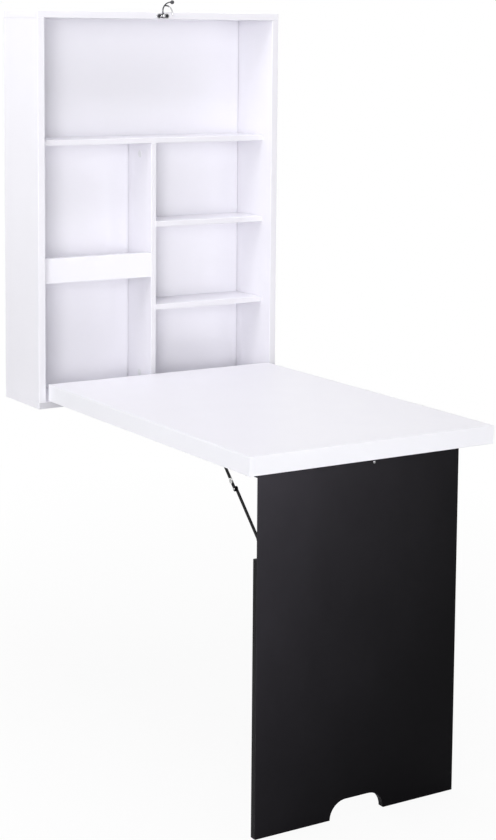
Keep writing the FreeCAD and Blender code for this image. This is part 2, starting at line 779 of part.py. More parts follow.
def pivot_rivet(name, sign, seat, turning, y, z):
    """A rivet with a head at each end: its seat is fast in a bracket's ear, and an arm turns on the rest."""
    head = "rivet_head_height"
    radius = "rivet_head_radius"
    start, end = (seat[0], turning[1]) if seat[1] == turning[0] else (turning[0], seat[1])
    fast = stay_bar(name + "_seat", sign, "rivet_radius", *seat, y, z, HEX)
    shank = stay_bar(name + "_shank", sign, "rivet_radius", *turning, y, z)
    outer = stay_bar(name + "_outer", sign, radius, "%s - %s" % (start, head), start, y, z, HEAD)
    inner = stay_bar(name + "_inner", sign, radius, end, "%s + %s" % (end, head), y, z, HEAD)
    return fuse(name, [fast, shank, outer, inner])


def desk_brackets():
    """Angle brackets under the recess ceiling; each ear carries an upper arm."""
    y, z = "stay_desk_y", "stay_desk_z"
    brackets = []
    rivets = []
    screws = []
    under = "recess_ceiling - bracket_thickness"
    rear = y + " + arm_eye_radius"
    front = rear + " - bracket_foot_length"
    for side, sign in SIDES:
        name = "desk_bracket_" + side
        flat = ("stack_start", "desk_foot_end", front, rear, under, "recess_ceiling")
        foot = stay_block(name + "_foot", sign, *flat)
        eye_front = y + " - arm_eye_radius"
        ear = stay_block(name + "_ear", sign, "stack_start", "desk_ear_end", eye_front, rear, z, under)
        eye = stay_bar(name + "_eye", sign, "arm_eye_radius", "stack_start", "desk_ear_end", y, z, EYE)
        seat = ("stack_start", "desk_ear_end")
        turning = ("desk_ear_end", "upper_arm_end + rivet_play")
        rivet = pivot_rivet(name + "_rivet", sign, seat, turning, y, z)
        rivets.append(rivet)
        brackets.append(cut(name + "_pierced", fuse(name, [foot, ear, eye]), [rivet]))
        screw_x = "%d * (recess_half - (desk_ear_end + desk_foot_end) / 2)" % sign
        ends = (front + " + bracket_screw_edge", rear + " - bracket_screw_edge")
        for i, screw_y in enumerate(ends):
            screws.append(wood_screw("%s_screw_%d" % (name, i), screw_x, screw_y, under, "up"))
    return finish_brackets("stay_desk", brackets, rivets, screws)


def leg_brackets():
    """Angle brackets on the leg's rear face; each ear reaches into a notch and carries a lower arm."""
    y, z = "stay_leg_y", "stay_leg_z"
    brackets = []
    rivets = []
    screws = []
    foot_rear = "leg_rear + bracket_thickness"
    top = z + " + bracket_foot_length / 2"
    bottom = z + " - bracket_foot_length / 2"
    for side, sign in SIDES:
        name = "leg_bracket_" + side
        flat = ("leg_ear_start", "leg_foot_end", "leg_rear", foot_rear, bottom, top)
        foot = stay_block(name + "_foot", sign, *flat)
        eye_top = z + " + arm_eye_radius"
        eye_low = z + " - arm_eye_radius"
        ear = stay_block(name + "_ear", sign, "leg_ear_start", "leg_ear_end", y, foot_rear, eye_low, eye_top)
        eye = stay_bar(name + "_eye", sign, "arm_eye_radius", "leg_ear_start", "leg_ear_end", y, z, EYE)
        seat = ("leg_ear_start", "leg_ear_end")
        turning = ("lower_arm_start - rivet_play", "leg_ear_start")
        rivet = pivot_rivet(name + "_rivet", sign, seat, turning, y, z)
        rivets.append(rivet)
        brackets.append(cut(name + "_pierced", fuse(name, [foot, ear, eye]), [rivet]))
        screw_x = "%d * (recess_half - (notch_wall + leg_foot_end) / 2)" % sign
        ends = (top + " - bracket_screw_edge", bottom + " + bracket_screw_edge")
        for i, screw_z in enumerate(ends):
            screws.append(wood_screw("%s_screw_%d" % (name, i), screw_x, foot_rear, screw_z, "front"))
    return finish_brackets("stay_leg", brackets, rivets, screws)


def finish_brackets(label, brackets, rivets, screws):
    """The pair's brackets, rivets and screws as three nodes. Gives the screws back for drilling."""
    node(label + "_rivets", group(label + "_rivet_pair", rivets))
    screw_set = node(label + "_screws", group(label + "_screw_set", screws))
    node(label + "_brackets", cut(label + "_drilled", group(label + "_pair", brackets), [screw_set]))
    return screw_set


def arm(name, sign, start, end, length, y, z, slope):
    """A flat arm with an eye at each end, set at its bracket pivot and turned to its slope."""
    half = "arm_width / 2"
    strip = block(name + "_strip", "0", "arm_thickness", "0", length, "-" + half, half)
    eye = ("arm_eye_radius", "arm_thickness", "0")
    near_eye = bar(name + "_pivot_eye", *eye, "0", "0", "right", EYE)
    far_eye = bar(name + "_elbow_eye", *eye, length, "0", "right", EYE)
    hole = bar(name + "_hole", "rivet_radius + rivet_clearance", "arm_thickness", "0", "0", "0", "right")
    item = cut(name, fuse(name + "_blank", [strip, near_eye, far_eye]), [hole])
    x = "%d * (recess_half - %s)" % (sign, start if sign < 0 else end)
    place(item, x, y, z, Rotation(X_AXIS, 1))
    item.setExpression("Placement.Rotation.Angle", refer(slope))
    return item


def upper_arm(side, sign):
    """The desk's arm with its half of the elbow, a rivet and a washer, and the lock's round rivet."""
    start, end = "upper_arm_start", "upper_arm_end"
    elbow = ("elbow_y", "elbow_z")
    lock = ("lock_y", "lock_z")
    name = "upper_" + side
    cap_face = start + " - rivet_head_height"
    cap = stay_bar(name + "_cap", sign, "rivet_head_radius", cap_face, start, *elbow, HEAD)
    shank = stay_bar(name + "_shank", sign, "rivet_radius", start, end, *elbow, HEX)
    washer_end = end + " + elbow_washer"
    washer = stay_bar(name + "_washer", sign, "elbow_washer_radius", end, washer_end, *elbow, HEAD)
    rivet = node("stay_elbow_rivet_" + side, fuse(name + "_elbow", [cap, shank, washer]))
    face = start + " - lock_rivet_height"
    head = stay_bar(name + "_lock_head", sign, "lock_rivet_radius", face, start, *lock, EYE)
    stem = stay_bar(name + "_lock_stem", sign, "rivet_radius", start, end, *lock, HEX)
    lock_rivet = node("stay_lock_rivet_" + side, fuse(name + "_lock", [head, stem]))
    slope = "180 + stay_slope"
    blank = arm(name + "_arm", sign, start, end, "upper_arm_length", "stay_desk_y", "stay_desk_z", slope)
    node("stay_upper_arm_" + side, cut(name + "_pierced", blank, [rivet, lock_rivet]))


def lower_arm(side, sign):
    """The leg's arm with its half of the elbow, a rivet head on its inner face."""
    start, end = "lower_arm_start", "lower_arm_end"
    elbow = ("elbow_y", "elbow_z")
    name = "lower_" + side
    stem = stay_bar(name + "_stem", sign, "rivet_radius", start, end, *elbow, HEX)
    head_end = end + " + rivet_head_height"
    head = stay_bar(name + "_head", sign, "rivet_head_radius", end, head_end, *elbow, HEAD)
    cap = node("stay_elbow_cap_" + side, fuse(name + "_elbow", [stem, head]))
    blank = arm(name + "_arm", sign, start, end, "lower_arm_length", "stay_leg_y", "stay_leg_z", "stay_slope")
    node("stay_lower_arm_" + side, cut(name + "_pierced", blank, [cap]))


# ---------------------------------------------------------------- latch


def latch_screw(side, sign):
    """A round-headed screw at one end of the latch's base."""
    x = "%d * latch_screw_spread" % sign
    face = "latch_plate_front"
    name = "latch_screw_" + side
    spot = (x, face, "latch_z")
    shank = bar(name + "_shank", "wood_screw_radius", "wood_screw_length", *spot, "back", HEX)
    radius = "latch_screw_head_radius"
    height = "latch_screw_head_height"
    rim = bar(name + "_rim", radius, height + " / 2", *spot, "front", LOBE)
    crown = bar(name + "_crown", radius + " * 0.75", height, *spot, "front", LOBE)
    return fuse(name, [shank, rim, crown])


def latch_base():
    """A plate with two round lobes and a boss, screwed to the top panel's front edge."""
    spread = "latch_screw_spread"
    half = "latch_boss_radius"
    heights = ("latch_z - " + half, "latch_z + " + half)
    parts = [block("latch_middle", "-" + spread, spread, "latch_plate_front", "front_plane", *heights)]
    for side, sign in SIDES:
        x = "%d * %s" % (sign, spread)
        lobe = ("latch_plate_lobe", "latch_plate_thickness", x)
        parts.append(bar("latch_lobe_" + side, *lobe, "front_plane", "latch_z", "front", LOBE))
    boss = ("latch_boss_radius", "latch_boss_height", "0")
    parts.append(bar("latch_boss", *boss, "front_plane", "latch_z", "front", LOBE))
    return fuse("latch_plate", parts)


def latch_pivot():
    """The rivet that the hook turns on, fast in the base, with a cap over the hook."""
    seat_length = "latch_boss_height - latch_plate_thickness"
    radius = "latch_pivot_radius"
    seat = bar("latch_pin_seat", radius, seat_length, "0", "latch_plate_front", "latch_z", "front", HEX)
    pin_length = "latch_thickness + stack_gap + rivet_play"
    boss_face = "front_plane - latch_boss_height"
    pin = bar("latch_pin", radius, pin_length, "0", boss_face, "latch_z", "front")
    cap_rear = "latch_hook_front - rivet_play"
    cap = bar("latch_cap", "latch_cap_radius", "latch_cap_height", "0", cap_rear, "latch_z", "front", EYE)
    return node("latch_pivot", fuse("latch_rivet", [seat, pin, cap]))


def curved_arm(name, x, z):
    """Part of a flat ring in the latch's plane; the sizes that start with its name shape it."""
    spot = (x, "latch_hook_rear", "latch_z + " + z)
    rims = []
    for rim, sign in (("outer", "+"), ("inner", "-")):
        radius = "%s_radius %s %s_width / 2" % (name, sign, name)
        rims.append(bar("%s_%s" % (name, rim), radius, "latch_thickness", *spot, "front"))
    bind(rims[0], Angle=name + "_sweep")
    start = SIZES[name + "_start"]
    rims[0].Placement = FreeCAD.Placement(Vector(), WAYS["front"].multiply(Rotation(Z_AXIS, start)))
    return cut(name, rims[0], rims[1:])


def knob(x, z):
    """A ball turned in three bands at the lever's end."""
    radius = "latch_knob_radius"
    middle = bar("knob_band", radius, "latch_thickness", x, "latch_hook_rear", z, "front", EYE)
    small = radius + " * 0.75"
    height = radius + " * 0.7 - latch_thickness / 2"
    front = bar("knob_front", small, height, x, "latch_hook_front", z, "front", EYE)
    back = bar("knob_back", small, height, x, "latch_hook_rear", z, "back", EYE)
    return [middle, front, back]


def latch_hook():
    """Hub, curved lever with a ball end, and the claw that turns down over the closed desk."""
    spot = ("0", "latch_hook_rear", "latch_z", "front")
    parts = [bar("latch_hub", "latch_hub_radius", "latch_thickness", *spot, LOBE)]
    parts.append(curved_arm("latch_lever", "latch_lever_x", "latch_lever_z"))
    parts.append(curved_arm("latch_claw", "latch_claw_x", "latch_claw_z"))
    knob_x = "latch_lever_x + latch_knob_radius * 0.8"
    parts += knob(knob_x, "latch_z + latch_lever_z + latch_lever_radius")
    bore = bar("latch_bore", "latch_pivot_radius + pin_clearance", "latch_thickness", *spot)
    return node("latch_hook", cut("latch_hook_bored", fuse("latch_hook_solid", parts), [bore]))


def latch():
    """A swivel latch on the top panel's front edge: base, screws, pivot and hook."""
    screws = node("latch_screws", group("latch_screw_pair", [latch_screw(*side) for side in SIDES]))
    node("latch_base", cut("latch_plate_pierced", latch_base(), [screws, latch_pivot()]))
    latch_hook()
    return screws


# ---------------------------------------------------------------- assembly


def build():
    fill_tables()
    cabinet_leaf_screws, desk_leaf_screws = desk_hinges()
    ceiling_leaf_screws, leg_leaf_screws = leg_hinges()
    cabinet(cabinet_leaf_screws, latch())
    desk(desk_leaf_screws, [ceiling_leaf_screws, desk_brackets()])
    leg([leg_leaf_screws, leg_brackets()], chalkboard_screw())
    for side, sign in SIDES:
        upper_arm(side, sign)
        lower_arm(side, sign)
    DOC.recompute()


def check():
    """Stops if any object failed or any piece is empty or not valid."""
    for item in DOC.Objects:
        if "Invalid" in item.State or "Error" in item.State:
            raise RuntimeError("%s failed: %s" % (item.Name, item.State))
    for item in NODES:
        if item.Shape.isNull() or not item.Shape.isValid() or not item.Shape.Solids:
            raise RuntimeError("%s has no valid shape" % item.Label)


def export():
    os.makedirs("parts", exist_ok=True)
    for item in NODES:
        shape = item.Shape
        shape.exportStep(os.path.join("parts", item.Label + ".step"))
        print(item.Label, len(shape.Solids), "solids", round(shape.Volume, 1), shape.BoundBox)


build()
check()
export()
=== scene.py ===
"""Dresses the fold down wall desk in its finishes, and sets the floor, the lights and the camera.

Metres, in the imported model's frame: X runs to the right, Y into the wall, Z up.
"""

import json
import math
from collections import namedtuple

import bmesh
import bpy
from mathutils import Matrix, Vector


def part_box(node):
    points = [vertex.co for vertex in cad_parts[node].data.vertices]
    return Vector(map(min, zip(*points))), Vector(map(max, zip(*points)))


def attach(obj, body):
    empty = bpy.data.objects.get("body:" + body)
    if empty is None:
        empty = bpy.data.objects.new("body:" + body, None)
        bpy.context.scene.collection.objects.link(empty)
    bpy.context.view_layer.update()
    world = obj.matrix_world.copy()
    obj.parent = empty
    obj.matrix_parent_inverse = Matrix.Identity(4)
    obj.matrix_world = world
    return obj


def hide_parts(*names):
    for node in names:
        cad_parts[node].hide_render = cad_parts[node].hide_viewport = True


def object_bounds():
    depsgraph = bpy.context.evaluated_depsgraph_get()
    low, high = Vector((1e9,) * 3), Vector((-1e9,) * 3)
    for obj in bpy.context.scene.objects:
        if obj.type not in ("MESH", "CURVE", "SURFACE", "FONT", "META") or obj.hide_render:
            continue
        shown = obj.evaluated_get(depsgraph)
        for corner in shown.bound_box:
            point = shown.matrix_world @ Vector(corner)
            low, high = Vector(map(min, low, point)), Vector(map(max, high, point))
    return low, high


MM = 0.001
LEFT, RIGHT = (-1, 0, 0), (1, 0, 0)
FRONT, BACK = (0, -1, 0), (0, 1, 0)
DOWN, UP = (0, 0, -1), (0, 0, 1)

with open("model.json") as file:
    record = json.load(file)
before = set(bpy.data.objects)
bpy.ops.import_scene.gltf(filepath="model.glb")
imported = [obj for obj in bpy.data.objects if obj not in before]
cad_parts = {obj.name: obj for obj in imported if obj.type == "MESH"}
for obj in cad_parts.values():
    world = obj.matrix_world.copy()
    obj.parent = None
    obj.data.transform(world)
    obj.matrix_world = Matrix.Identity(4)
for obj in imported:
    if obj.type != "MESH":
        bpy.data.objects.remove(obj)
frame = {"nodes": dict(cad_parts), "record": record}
NODES = frame["nodes"]
BODIES = frame["record"]["behaviour"]["bodies"]
BODY_OF = {node: body for body, nodes in BODIES.items() for node in nodes}
CAD_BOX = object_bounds()

CARCASS = (
    "side_panel_left side_panel_right top_panel bottom_panel upper_shelf centre_divider "
    "right_shelf_upper right_shelf_lower left_shelf"
).split()


# ---------------------------------------------------------------- camera

# Pixels of the photograph: its height, the focal length, and the row that the camera's axis meets.
IMAGE_HEIGHT = 840
FOCAL_PIXELS = 1885.17
AXIS_ROW = 250.0
# Radians: turned right from straight at the wall, tipped down, and rolled.
CAMERA_YAW = 0.5602318
CAMERA_PITCH = 0.1128525
CAMERA_ROLL = 0.0082514
CAMERA_PLACE = Vector((-2.031887, -3.764023, 0.0443))
FARTHEST_SEEN = 60.0
# Millimetres along the picture's longer side.
SENSOR = 36.0


def make_camera():
    """A camera held nearly level, with its image shifted down to take in the leg's foot."""
    yaw, pitch, roll = CAMERA_YAW, CAMERA_PITCH, CAMERA_ROLL
    ahead = Vector((math.sin(yaw) * math.cos(pitch), math.cos(yaw) * math.cos(pitch), -math.sin(pitch)))
    level = Vector((math.cos(yaw), -math.sin(yaw), 0.0))
    above = level.cross(ahead)
    right = math.cos(roll) * level + math.sin(roll) * above
    up = math.cos(roll) * above - math.sin(roll) * level
    data = bpy.data.cameras.new("camera")
    data.sensor_width = SENSOR
    data.lens = FOCAL_PIXELS * SENSOR / IMAGE_HEIGHT
    data.shift_y = (AXIS_ROW - IMAGE_HEIGHT / 2) / IMAGE_HEIGHT
    data.clip_end = FARTHEST_SEEN
    camera = bpy.data.objects.new("camera", data)
    bpy.context.scene.collection.objects.link(camera)
    turn = Matrix((right, up, -ahead)).transposed().to_4x4()
    camera.matrix_world = Matrix.Translation(CAMERA_PLACE) @ turn
    bpy.context.scene.camera = camera


# ---------------------------------------------------------------- node trees


def is_socket(value):
    return isinstance(value, bpy.types.NodeSocket)


def feed(tree, socket, value):
    """Links another node's output to an input, or sets the input to a plain value."""
    if is_socket(value):
        tree.links.new(value, socket)
    else:
        socket.default_value = value


def reckon(tree, operation, *values, kind="ShaderNodeMath"):
    """The number that a math node, or a vector math node, makes of its inputs."""
    item = tree.nodes.new(kind)
    item.operation = operation
    for socket, value in zip(item.inputs, values):
        feed(tree, socket, value)
    return item.outputs["Value"]


def show_mix(tree, factor, first, second, output):
    """Sends a mix of two shaders to the output: the first at a factor of 0, the second at 1."""
    mix = tree.nodes.new("ShaderNodeMixShader")
    for socket, value in zip(mix.inputs, (factor, first, second)):
        tree.links.new(value, socket)
    tree.links.new(mix.outputs[0], tree.nodes[output].inputs["Surface"])


class Nodes:
    """A node material in the making, with short calls for the nodes that most finishes need."""

    def __init__(self, name):
        self.material = bpy.data.materials.new(name)
        self.material.use_nodes = True
        self.tree = self.material.node_tree
        self.shader = self.tree.nodes["Principled BSDF"]
        self.coords = self.add("ShaderNodeTexCoord").outputs["Object"]

    def fill(self, item, inputs):
        for name, value in inputs.items():
            feed(self.tree, item.inputs[name.replace("_", " ")], value)

    def add(self, kind, **inputs):
        """A new node with some inputs set; a name's underscores stand for spaces."""
        item = self.tree.nodes.new(kind)
        self.fill(item, inputs)
        return item

    def shade(self, **inputs):
        """Sets inputs of the surface shader; a name's underscores stand for spaces."""
        self.fill(self.shader, inputs)

    def noise(self, scale, detail=3.0, rough=0.55, stretch=(1.0, 1.0, 1.0)):
        """Cloudy noise in the object's own coordinates."""
        place = self.add("ShaderNodeMapping", Vector=self.coords, Scale=stretch)
        item = self.add(
            "ShaderNodeTexNoise", Vector=place.outputs[0], Scale=scale, Detail=detail, Roughness=rough
        )
        return item.outputs["Fac"]

    def ramp(self, value, low=0.0, high=1.0, start=0.3, end=0.7):
        """Goes from low to high while the value goes from start to end."""
        item = self.add(
            "ShaderNodeMapRange", Value=value, From_Min=start, From_Max=end, To_Min=low, To_Max=high
        )
        return item.outputs["Result"]

    def blend(self, factor, first, second):
        """A colour between two others: the first at a factor of 0, the second at 1."""
        item = self.tree.nodes.new("ShaderNodeMix")
        item.data_type = "RGBA"
        feed(self.tree, item.inputs["Factor"], factor)
        colours = [socket for socket in item.inputs if socket.type == "RGBA"]
        for socket, value in zip(colours, (first, second)):
            feed(self.tree, socket, value if is_socket(value) else (*value, 1.0))
        return [socket for socket in item.outputs if socket.type == "RGBA"][0]

    def along(self, vector, way):
        """How far a vector reaches one way."""
        return reckon(self.tree, "DOT_PRODUCT", vector, way, kind="ShaderNodeVectorMath")

    def uneven_gloss(self, pattern, roughness, spread):
        """A roughness that a pattern raises and lowers by a spread."""
        self.shade(Roughness=self.ramp(pattern, roughness - spread, roughness + spread))

    def bump(self, height, distance, strength):
        """Small relief: the height's full range stands for a distance in metres."""
        item = self.add("ShaderNodeBump", Height=height, Distance=distance, Strength=strength)
        self.shade(Normal=item.outputs["Normal"])


# ---------------------------------------------------------------- finishes

# Linear colours. A pair is a finish's colour and the one that it drifts to in soft clouds.
WHITE = (0.855, 0.845, 0.895), (0.84, 0.83, 0.88)
TAPE_WHITE = (0.87, 0.868, 0.915), (0.86, 0.858, 0.90)
CAP_GREY = (0.765, 0.775, 0.785), (0.74, 0.75, 0.76)
ZINC = (0.60, 0.60, 0.59), (0.72, 0.72, 0.70)
CHROME = (0.62, 0.62, 0.64), (0.74, 0.74, 0.75)
# Chrome with a painted dark reflection: near black in place of the dark surroundings that the real
# chrome mirrors.
PAINTED_REFLECTION_CHROME = (0.05, 0.05, 0.055), (0.11, 0.11, 0.12)
STEEL = (0.68, 0.68, 0.67), (0.80, 0.80, 0.79)
DARK_STEEL = (0.22, 0.22, 0.23), (0.34, 0.34, 0.35)
BOARD_BLACK = (0.004, 0.0037, 0.0046), (0.008, 0.0075, 0.009)
CHARCOAL = (0.0022, 0.002, 0.0026), (0.004, 0.0036, 0.0046)
BEECH = (0.62, 0.44, 0.27), (0.78, 0.61, 0.42)
FLAKES = (0.50, 0.36, 0.21), (0.74, 0.59, 0.40)
FLAKE_SHADE = (0.40, 0.27, 0.15)
SLATE = (0.0012, 0.001, 0.0016)
# The grey that the blackboard lightens to where its sheen is painted on.
PAINTED_SHEEN_GREY = (0.040, 0.037, 0.045)
TAPE_GREY = (0.77, 0.76, 0.805)
# A painted shadow: the bottom panel's front band in a darker grey, where the desk's shade falls on it.
PAINTED_SHADOW_TAPE_GREY = (0.60, 0.592, 0.632)

MELAMINE_GLOSS = 0.38

# A painted sheen grows along a slope across the blackboard, lighter towards its upper left, from where
# it is none to where it is full.
SHEEN_SLOPE = (-2.16, 0.0, 1.385)
SHEEN_NONE, SHEEN_FULL = -2.15, -0.25
SHEEN_SWIRL = 0.5
SHEEN_CURVE = 2.6


def laminate(name, colours, roughness, tape_and_shadow=None):
    """Satin melamine: an even film with a fine orange peel and a faint cloudiness in its gloss.

    The front colour is that of the thin band on the boards' front edges, which look out of the cabinet;
    on the bottom panel it is darker, a painted shadow.
    """
    made = Nodes(name)
    cloud = made.noise(scale=3.2, detail=4.0)
    film = made.blend(made.ramp(cloud), *colours)
    if tape_and_shadow:
        front = made.along(made.coords.node.outputs["Normal"], FRONT)
        film = made.blend(made.ramp(front, start=0.9, end=0.97), film, tape_and_shadow)
    made.shade(Base_Color=film)
    streak = made.noise(scale=14.0, detail=5.0)
    made.uneven_gloss(streak, roughness, spread=0.05)
    peel = made.noise(scale=900.0, detail=2.0, rough=0.5)
    made.bump(peel, distance=0.00006, strength=0.35)
    return made.material


def raw_board(name):
    """Unfinished particle board: pressed flakes of several browns."""
    made = Nodes(name)
    flakes = made.add("ShaderNodeTexVoronoi", Vector=made.coords, Scale=420.0)
    tone = made.blend(made.ramp(flakes.outputs["Color"], start=0.1, end=0.9), *FLAKES)
    grain = made.noise(scale=90.0, detail=6.0, rough=0.7, stretch=(1.0, 4.0, 4.0))
    made.shade(Base_Color=made.blend(made.ramp(grain, high=0.6), tone, FLAKE_SHADE), Roughness=0.85)
    made.bump(flakes.outputs["Distance"], distance=0.0004, strength=0.6)
    return made.material


def wood(name):
    """Bare beech, its grain drawn out along X."""
    made = Nodes(name)
    grain = made.noise(scale=260.0, detail=5.0, rough=0.6, stretch=(0.12, 1.0, 1.0))
    made.shade(Base_Color=made.blend(made.ramp(grain), *BEECH), Roughness=0.6)
    made.bump(grain, distance=0.0001, strength=0.5)
    return made.material


def metal(name, colours, roughness):
    """Bare or plated metal with fine scratches and small changes of gloss."""
    made = Nodes(name)
    cloud = made.noise(scale=160.0, detail=4.0)
    scratches = made.noise(scale=700.0, rough=0.6, stretch=(1.0, 1.0, 12.0))
    made.shade(Base_Color=made.blend(made.ramp(cloud), *colours), Metallic=1.0)
    made.uneven_gloss(scratches, roughness, spread=0.3 * roughness)
    made.bump(scratches, distance=0.00002, strength=0.25)
    return made.material


def black_paint(name, colours, roughness, gloss, grain_scale, grain_depth):
    """Matt black coat with a fine grain, slightly uneven and greyer where it thins."""
    made = Nodes(name)
    cloud = made.noise(scale=2.4, detail=5.0, rough=0.6)
    grain = made.noise(grain_scale, detail=4.0, rough=0.65)
    made.shade(Base_Color=made.blend(made.ramp(cloud), *colours), Specular_IOR_Level=gloss)
    made.uneven_gloss(grain, roughness, spread=0.08)
    made.bump(grain, grain_depth, strength=0.5)
    return made.material


def chalkboard(name):
    """A blackboard face: near black, with a painted sheen that lightens it towards its upper left."""
    made = Nodes(name)
    slope = made.along(made.coords, SHEEN_SLOPE)
    swirl = made.noise(scale=5.0, detail=5.0, rough=0.6, stretch=(1.0, 1.0, 0.6))
    reach = reckon(made.tree, "MULTIPLY_ADD", swirl, SHEEN_SWIRL, slope)
    # Painted sheen: the face lightens along the slope towards its upper left, broken up by a swirl.
    painted_sheen = reckon(made.tree, "POWER", made.ramp(reach, start=SHEEN_NONE, end=SHEEN_FULL), SHEEN_CURVE)
    made.shade(Base_Color=made.blend(painted_sheen, SLATE, PAINTED_SHEEN_GREY), Specular_IOR_Level=0.07)
    grain = made.noise(scale=1400.0, detail=4.0, rough=0.65)
    made.uneven_gloss(grain, roughness=0.41, spread=0.07)
    made.bump(grain, distance=0.00008, strength=0.5)
    return made.material


BOARD_PAINT = dict(
    colours=BOARD_BLACK, roughness=0.42, gloss=0.1, grain_scale=900.0, grain_depth=0.0001
)
STEEL_PAINT = dict(
    colours=CHARCOAL, roughness=0.38, gloss=0.14, grain_scale=700.0, grain_depth=0.00005
)

# The record's material slots, and two finishes more that share the slot of another.
RECIPES = {
    "white_laminate": (laminate, dict(colours=WHITE, roughness=MELAMINE_GLOSS)),
    "edge_band": (laminate, dict(colours=TAPE_WHITE, roughness=0.34)),
    "raw_board": (raw_board, {}),
    "beech_dowel": (wood, {}),
    "zinc_fittings": (metal, dict(colours=ZINC, roughness=0.34)),
    "chromed_latch": (metal, dict(colours=CHROME, roughness=0.14)),
    "dark_chrome": (metal, dict(colours=PAINTED_REFLECTION_CHROME, roughness=0.16)),
    "black_board": (black_paint, BOARD_PAINT),
    "chalkboard_face": (chalkboard, {}),
    "bright_steel": (metal, dict(colours=STEEL, roughness=0.24)),
    "dull_steel": (metal, dict(colours=DARK_STEEL, roughness=0.30)),
    "cap_plastic": (laminate, dict(colours=CAP_GREY, roughness=0.42)),
    "black_steel": (black_paint, STEEL_PAINT),
}
FINISHES = {name: make(name, **details) for name, (make, details) in RECIPES.items()}


def dress_nodes():
    """Gives each CAD node the finish of its slot, and the cabinet's boards their taped front edges, the
    bottom panel's darkened by a painted shadow.
    """
    slots = {row["node"]: row["material_slot"] for row in frame["record"]["subparts"]}
    taped = laminate("banded_laminate", WHITE, MELAMINE_GLOSS, TAPE_GREY)
    # The bottom panel's front edge gets a darker grey: a painted shadow of the desk.
    shadow_painted_taped = laminate("painted_shadow_banded_laminate", WHITE, MELAMINE_GLOSS, PAINTED_SHADOW_TAPE_GREY)
    special = {**dict.fromkeys(CARCASS, taped), "bottom_panel": shadow_painted_taped}
    for name, item in NODES.items():
        item.data.materials.clear()
        item.data.materials.append(special.get(name, FINISHES[slots[name]]))


# ---------------------------------------------------------------- shaping

# Edges that turn by more than this stay sharp, and points closer than the weld are one.
SHARP = math.radians(34.0)
WELD = 1e-7


def welded(node):
    """A copy of a CAD node's mesh, its faces joined at the points that they share."""
    shape = bmesh.new()
    shape.from_mesh(NODES[node].data)
    bmesh.ops.remove_doubles(shape, verts=shape.verts, dist=WELD)
    return shape


def solids_of(node):
    """The separate solids of a CAD node, each as its lowest and highest corner."""
    shape = welded(node)
    waiting = set(shape.verts)
    boxes = []
    while waiting:
        reached = [waiting.pop()]
        points = []
        while reached:
            vertex = reached.pop()
            points.append(vertex.co.copy())
            for edge in vertex.link_edges:
                other = edge.other_vert(vertex)
                if other in waiting:
                    waiting.remove(other)
                    reached.append(other)
        low, high = ([pick(point[axis] for point in points) for axis in range(3)] for pick in (min, max))
        boxes.append((Vector(low), Vector(high)))
    shape.free()
    return sorted(boxes, key=lambda box: tuple(round(number, 6) for number in box[0]))


def in_mm(profile):
    """An outline that is written in millimetres, in metres."""
    return [(radius * MM, height * MM) for radius, height in profile]


def turned(profile, sides):
    """A shape turned round +Z from (radius, height) pairs, which run from its lower end up."""
    shape = bmesh.new()
    rings = []
    for radius, height in profile:
        count = sides if radius > 0.0 else 1
        angles = [2.0 * math.pi * step / sides for step in range(count)]
        spots = [(radius * math.cos(angle), radius * math.sin(angle), height) for angle in angles]
        rings.append([shape.verts.new(spot) for spot in spots])
    for lower, upper in zip(rings, rings[1:]):
        for step in range(sides):
            ahead = step + 1
            corners = ((lower, step), (lower, ahead), (upper, ahead), (upper, step))
            shape.faces.new(list(dict.fromkeys(ring[at % len(ring)] for ring, at in corners)))
    return shape


def as_object(shape, name):
    """Turns a shape into an object of the scene, and frees the shape."""
    mesh = bpy.data.meshes.new(name)
    shape.to_mesh(mesh)
    shape.free()
    item = bpy.data.objects.new(name, mesh)
    bpy.context.scene.collection.objects.link(item)
    return item


def cut_away(shape, tool):
    """What is left of one closed shape when another is cut out of it."""
    body, cutter = as_object(shape, "cut_body"), as_object(tool, "cut_tool")
    cut = body.modifiers.new("cut", "BOOLEAN")
    cut.operation = "DIFFERENCE"
    cut.solver = "EXACT"
    cut.object = cutter
    left = bmesh.new()
    left.from_object(body, bpy.context.evaluated_depsgraph_get())
    for item in (body, cutter):
        mesh = item.data
        bpy.data.objects.remove(item)
        bpy.data.meshes.remove(mesh)
    return left


def block(low, high):
    """A plain block between two corners."""
    shape = bmesh.new()
    bmesh.ops.create_cube(shape, size=1.0)
    for vertex in shape.verts:
        vertex.co = [high[i] if vertex.co[i] > 0.0 else low[i] for i in range(3)]
    return shape


def placed(shape, place, way):
    """Turns a shape made round +Z to face a way, and moves it to its place."""
    turn = Vector(way).to_track_quat("Z", "Y").to_matrix().to_4x4()
    bmesh.ops.transform(shape, matrix=Matrix.Translation(place) @ turn, verts=shape.verts)
    return shape


def joined(shapes):
    """One shape that holds several others, which it frees."""
    whole = bmesh.new()
    for shape in shapes:
        mesh = bpy.data.meshes.new("part")
        shape.to_mesh(mesh)
        shape.free()
        whole.from_mesh(mesh)
        bpy.data.meshes.remove(mesh)
    return whole


def add_piece(name, shape, node, finish, stands_for=True):
    """Makes a shape into a piece that rides with a CAD node's body, and may take that node's place."""
    bmesh.ops.recalc_face_normals(shape, faces=shape.faces)
    for edge in shape.edges:
        edge.smooth = edge.calc_face_angle(math.pi) < SHARP
    for face in shape.faces:
        face.smooth = True
    item = as_object(shape, name)
    item.data.materials.append(FINISHES[finish])
    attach(item, BODY_OF[node])
    if stands_for:
        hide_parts(node)


def head_face(box, way):
    """The middle of the side of a box that looks a way."""
    low, high = box
    middle = (low + high) / 2.0
    half = (high - low) / 2.0
    return middle + Vector([half[i] * way[i] for i in range(3)])


# ---------------------------------------------------------------- screws

